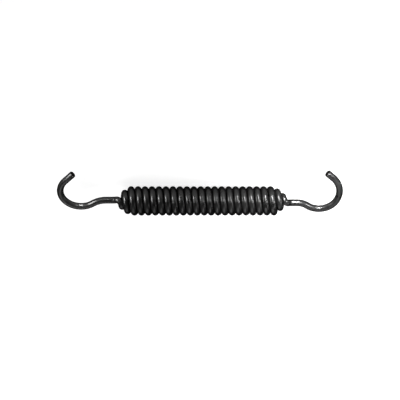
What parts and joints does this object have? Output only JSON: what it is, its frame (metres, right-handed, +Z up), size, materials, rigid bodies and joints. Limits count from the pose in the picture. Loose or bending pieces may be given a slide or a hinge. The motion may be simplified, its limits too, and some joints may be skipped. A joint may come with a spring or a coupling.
{
  "type": "brake shoe return spring",
  "caption": "Close-wound steel extension spring with coned ends, centred shanks and an open hook at each end, which pulls brake shoes back from the drum.",
  "frame": {"origin": "under the middle of the spring's box, on the surface that the coil and the longer hook's cut end lie on", "axes": "+X along the coil, +Y towards the hooks' cut ends, +Z up from the surface"},
  "size_m": [0.275, 0.0484, 0.0285],
  "materials": {
    "black_finish": "satin"
  },
  "bodies": {
    "root": {"return_spring": "black_finish"}
  },
  "joints": []
}
